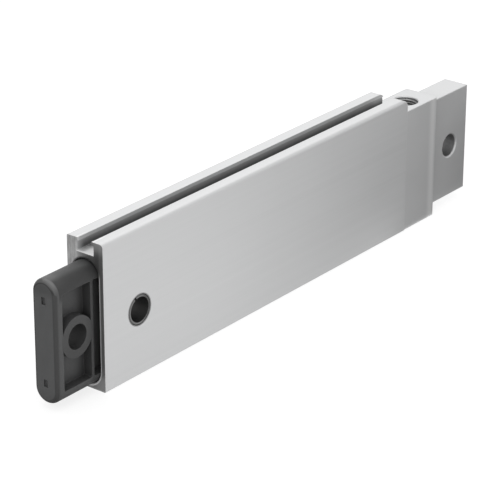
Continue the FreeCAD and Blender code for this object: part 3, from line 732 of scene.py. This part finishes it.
class Growth(Graph):
    """A Geometry Nodes tree with named sizes, turned into a plain mesh at the origin."""

    def __init__(self, name, **sizes):
        super().__init__(bpy.data.node_groups.new(name, "GeometryNodeTree"))
        self.name = name
        self.numbers = {}
        for label, number in sizes.items():
            kind = "NodeSocketInt" if isinstance(number, int) else "NodeSocketFloat"
            socket = self.tree.interface.new_socket(label, in_out="INPUT", socket_type=kind)
            self.numbers[socket.identifier] = number
        self.tree.interface.new_socket("Geometry", in_out="OUTPUT", socket_type="NodeSocketGeometry")
        self.entry = self.tree.nodes.new("NodeGroupInput")
        self.exit = self.tree.nodes.new("NodeGroupOutput")

    def size(self, label):
        return Field(self, find_socket(self.entry.outputs, label))

    def least(self, one, other):
        return self.maths("MINIMUM", one, other)

    def point(self, x, y, z=0.0):
        return self.node("ShaderNodeCombineXYZ", None, {"X": x, "Y": y, "Z": z})

    def move(self, geometry, position):
        inputs = {"Geometry": geometry, "Position": position}
        return self.node("GeometryNodeSetPosition", None, inputs)

    def helix(self, count, radius, turn, rise):
        """Curve through count points about the local Z axis, given each point's turn and rise."""
        line = self.node("GeometryNodeCurvePrimitiveLine")
        inputs = {"Curve": line, "Count": count}
        points = self.node("GeometryNodeResampleCurve", {"mode": "COUNT"}, inputs)
        angle = turn * TURN
        across = self.maths("COSINE", angle) * radius
        return self.move(points, self.point(across, self.maths("SINE", angle) * radius, rise))

    def mark(self, geometry, attribute, value):
        settings = {"data_type": "FLOAT", "domain": "POINT"}
        inputs = {"Geometry": geometry, "Name": attribute, "Value": value}
        return self.node("GeometryNodeStoreNamedAttribute", settings, inputs)

    def sweep(self, path, section):
        inputs = {"Curve": path, "Profile Curve": section, "Fill Caps": True}
        return self.node("GeometryNodeCurveToMesh", None, inputs)

    def ridge(self, depth, half_root, half_crest):
        """Closed outline of a thread's ridge, from its foot in the wall to its crest."""
        foot = depth * THREAD_FOOT
        crest = depth * -1
        corners = {
            "Point 1": self.point(foot, half_root),
            "Point 2": self.point(crest, half_crest),
            "Point 3": self.point(crest, half_crest * -1),
            "Point 4": self.point(foot, half_root * -1),
        }
        return self.node("GeometryNodeCurvePrimitiveQuadrilateral", {"mode": "POINTS"}, corners)

    def progress(self):
        """From 0 at a curve's start to 1 at its end."""
        return self.node("GeometryNodeSplineParameter", output="Factor")

    def piece(self, geometry, finish, crease):
        """Ends the tree and returns its result as a plain mesh object, sharp where it bends past the crease."""
        angle = self.node("GeometryNodeInputMeshEdgeAngle", output="Unsigned Angle")
        sharp = self.maths("GREATER_THAN", angle, crease)
        inputs = {"Geometry": geometry, "Selection": sharp, "Shade Smooth": False}
        creased = self.node("GeometryNodeSetShadeSmooth", {"domain": "EDGE"}, inputs)
        whole = self.node("GeometryNodeRealizeInstances", None, {"Geometry": creased})
        dressed = self.node("GeometryNodeSetMaterial", None, {"Geometry": whole, "Material": finish})
        self.feed(self.exit.inputs["Geometry"], dressed)

        grower_name = f"{self.name}_grower"
        grower = new_object(grower_name, bpy.data.meshes.new(grower_name))
        modifier = grower.modifiers.new(self.name, "NODES")
        modifier.node_group = self.tree
        for identifier, number in self.numbers.items():
            modifier[identifier] = number
        mesh = result_mesh(grower, self.name)
        bpy.data.objects.remove(grower)
        return new_object(self.name, mesh)


def port_thread():
    """Thread ridge in the rear cap's port, fading into the wall at both ends."""
    port = mounts["air_port"]
    wall_length = port["dims"]["length_mm"] * MM
    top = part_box("rear_cap")[1].z - PORT_CHAMFER
    turns = (wall_length - THREAD_RUN_OUT) / THREAD_PITCH - THREAD_TOP_GAP
    growth = Growth(
        "port_thread",
        Turns=turns,
        Pitch=THREAD_PITCH,
        Depth=THREAD_DEPTH,
        Radius=port["dims"]["r_mm"] * MM,
        Points=int(turns * THREAD_SEGMENTS),
    )
    pitch = growth.size("Pitch")
    turn = growth.progress() * growth.size("Turns")
    path = growth.helix(growth.size("Points"), growth.size("Radius"), turn, turn * pitch)
    path = growth.node("GeometryNodeSetCurveNormal", {"mode": "Z_UP"}, {"Curve": path})
    to_end = growth.size("Turns") - turn
    height = growth.smooth(turn, 0.0, THREAD_FADE) * growth.smooth(to_end, 0.0, THREAD_FADE)
    path = growth.node("GeometryNodeSetCurveRadius", None, {"Curve": path, "Radius": height})
    section = growth.ridge(growth.size("Depth"), pitch * THREAD_ROOT_HALF, pitch * THREAD_CREST_HALF)
    thread = growth.piece(growth.sweep(path, section), tapped_aluminium(), THREAD_CREASE)
    lowest_turn = top - (turns + THREAD_TOP_GAP) * THREAD_PITCH
    thread.data.transform(Matrix.Translation((port["pos_m"][0], port["pos_m"][1], lowest_turn)))
    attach(thread, "housing")


def slide_travel():
    slide = next(joint for joint in frame["joints"] if joint["name"] == "plunger_slide")
    return slide["range_m"][1] - slide["range_m"][0]


def return_spring():
    """Round-wire compression spring with closed, ground ends between its seat and the slot's end wall."""
    low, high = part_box("return_spring")
    length = high.x - low.x
    growth = Growth(
        "coiled_return_spring",
        Turns=float(SPRING_TURNS),
        Closed=SPRING_CLOSED_TURNS,
        Wire=SPRING_WIRE,
        Radius=(high.z - low.z) / 2 - SPRING_WIRE / 2,
        Length=length,
        Points=SPRING_TURNS * SPRING_SEGMENTS,
        Sides=WIRE_SIDES,
    )
    wire = growth.size("Wire")
    closed = growth.size("Closed")
    turns = growth.size("Turns")
    turn = growth.progress() * turns
    open_turns = turns - closed * 2
    open_length = growth.size("Length") - wire * (2 * SPRING_END_HEIGHT) - wire * closed * 2
    pitch = open_length / open_turns
    first = growth.least(turn, closed)
    middle = growth.least(growth.most(turn - closed, 0.0), open_turns)
    last = growth.most(turn - (turns - closed), 0.0)
    rise = wire * SPRING_END_HEIGHT + wire * (first + last) + pitch * middle
    path = growth.helix(growth.size("Points"), growth.size("Radius"), turn, rise)
    path = growth.mark(path, "along_wire", growth.progress())
    circle = {"Resolution": growth.size("Sides"), "Radius": wire / 2}
    section = growth.node("GeometryNodeCurvePrimitiveCircle", {"mode": "RADIUS"}, circle)
    section = growth.mark(section, "around_wire", growth.progress())
    coil = growth.sweep(path, section)

    # ground ends: what stands past the two end planes is flattened on to them
    place = growth.node("GeometryNodeInputPosition")
    x = growth.node("ShaderNodeSeparateXYZ", None, {"Vector": place}, output="X")
    depth = growth.least(growth.most(x.pick("Z"), 0.0), growth.size("Length"))
    coil = growth.move(coil, growth.point(x, x.pick("Y"), depth))

    spring = growth.piece(coil, FINISHES["spring_steel"], SPRING_CREASE)
    along_stroke = Matrix.Rotation(math.pi / 2, 4, "Y")
    middle_height = (low.z + high.z) / 2
    spring.data.transform(Matrix.Translation((low.x, 0, middle_height)) @ along_stroke)
    travel = slide_travel()
    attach(spring, "housing")
    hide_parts("return_spring")
    (length - travel) / length
    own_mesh(spring)


crisp_barrel()
port_thread()
return_spring()


# Studio


def facing_matrix(place, aim, roll=0.0):
    """Stands at place and looks along -Z at aim, turned by roll about that line."""
    turn = (Vector(aim) - Vector(place)).to_track_quat("-Z", "Y").to_matrix().to_4x4()
    return Matrix.Translation(place) @ turn @ Matrix.Rotation(roll, 4, "Z")


def soft_lamp(name, place, aim, size, watts):
    lamp = bpy.data.lights.new(name, "AREA")
    lamp.shape = "SQUARE"
    lamp.size = size
    lamp.energy = watts
    rig = new_object(name, lamp)
    rig.matrix_world = facing_matrix(place, aim)
    rig.visible_camera = False


def seen_directly(graph):
    """1 for what the camera, a reflection or glass sees, 0 for light that is on its way to the object."""
    path = graph.node("ShaderNodeLightPath", output="Is Camera Ray")
    return graph.most(path, path.pick("Is Glossy Ray"), path.pick("Is Transmission Ray"))


def white_world():
    """White surround that lights the object with a part of its white."""
    world = bpy.data.worlds.new("studio")
    world.use_nodes = True
    graph = Graph(world.node_tree)
    background = world.node_tree.nodes["Background"]
    strength = seen_directly(graph) * (1 - AMBIENT_LIGHT) + AMBIENT_LIGHT
    graph.feed(background.inputs["Color"], grey(1.0))
    graph.feed(background.inputs["Strength"], strength)
    bpy.context.scene.world = world


def plane(name, corners):
    mesh = bpy.data.meshes.new(name)
    mesh.from_pydata(corners, [], [range(len(corners))])
    piece = new_object(name, mesh)
    return piece


def level_corners(left, right, near, far, height):
    return [(left, near, height), (right, near, height), (right, far, height), (left, far, height)]


def pale_floor(height):
    """White floor that keeps the object's shadow: part of its white is lit, part is its own."""
    floor = plane("floor", level_corners(-FLOOR_HALF, FLOOR_HALF, -FLOOR_HALF, FLOOR_HALF, height))
    finish = Finish("pale_floor")
    bounce = finish.node("ShaderNodeBsdfDiffuse", None, {"Color": grey(0.75)})
    lit = finish.node("ShaderNodeBsdfDiffuse", None, {"Color": grey(0.35)})
    own = finish.node("ShaderNodeEmission", None, {"Color": grey(1.0), "Strength": FLOOR_LIGHT})
    seen = finish.node("ShaderNodeAddShader", None, {0: lit, 1: own})
    shaders = {0: seen_directly(finish), 1: bounce, 2: seen}
    finish.show(finish.node("ShaderNodeMixShader", None, shaders))
    floor.data.materials.append(finish.material)


def side_shade(finish):
    """Darkens towards the rear, in slanting lines that the barrel's side mirrors as upright ones."""
    x, y, _ = finish.axes()
    along = x + y * MIRROR_SLANT
    to_rear = finish.smooth(along, 0.0, 0.12)
    far_out = finish.mix(to_rear, grey(1.0), grey(0.44))
    close_by = finish.mix(to_rear, grey(0.94), grey(0.70))
    close = finish.smooth(y, -0.04, -0.010) * finish.fade(along, 0.112, 0.137)
    beside_barrel = finish.mix(close, far_out, close_by)
    beside_cap = finish.mix(finish.smooth(along, 0.13, 0.18), beside_barrel, grey(0.2))
    return finish.mix(finish.smooth(along, 0.2, 0.3), beside_cap, grey(1.0))


def grey_card(finish, colour, corners):
    """Studio card that only reflections see, to shade the bright metal as in the photograph."""
    card = plane(finish.material.name, corners)
    finish.show(finish.node("ShaderNodeEmission", None, {"Color": colour, "Strength": 1.0}))
    card.data.materials.append(finish.material)
    card.visible_camera = False
    card.visible_diffuse = False
    card.visible_shadow = False


def studio():
    low, high = cad_box
    middle = (low + high) / 2
    card_height = low.z - CARD_GAP
    card_edge = low.y - CARD_GAP
    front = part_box("barrel")[0].x - FRONT_CARD_GAP
    upright = [
        (CARD_LEFT, CARD_NEAR, card_height),
        (UPRIGHT_CARD_RIGHT, CARD_NEAR, card_height),
        (UPRIGHT_CARD_RIGHT, CARD_NEAR, UPRIGHT_CARD_TOP),
        (CARD_LEFT, CARD_NEAR, UPRIGHT_CARD_TOP),
    ]
    side_cards = {
        "side_card": level_corners(CARD_LEFT, SIDE_CARD_RIGHT, CARD_NEAR, card_edge, card_height),
        "upright_card": upright,
    }
    white_world()
    pale_floor(low.z - FLOOR_GAP)
    for name, corners in side_cards.items():
        finish = Finish(name)
        grey_card(finish, side_shade(finish), corners)
    before_front = level_corners(FRONT_CARD_LEFT, front, FRONT_CARD_NEAR, FRONT_CARD_FAR, card_height)
    grey_card(Finish("front_card"), grey(FRONT_CARD_LEVEL), before_front)
    for name, (place, size, watts) in LAMPS.items():
        soft_lamp(name, place, middle, size, watts)


def camera():
    lens = bpy.data.cameras.new("camera")
    lens.lens = CAMERA_LENS
    lens.sensor_width = CAMERA_SENSOR
    lens.sensor_fit = "HORIZONTAL"
    lens.clip_start = CAMERA_CLIP
    stand = new_object("camera", lens)
    stand.matrix_world = facing_matrix(CAMERA_PLACE, CAMERA_AIM, CAMERA_ROLL)
    bpy.context.scene.camera = stand


studio()
camera()
bpy.context.scene.view_settings.view_transform = "Standard"
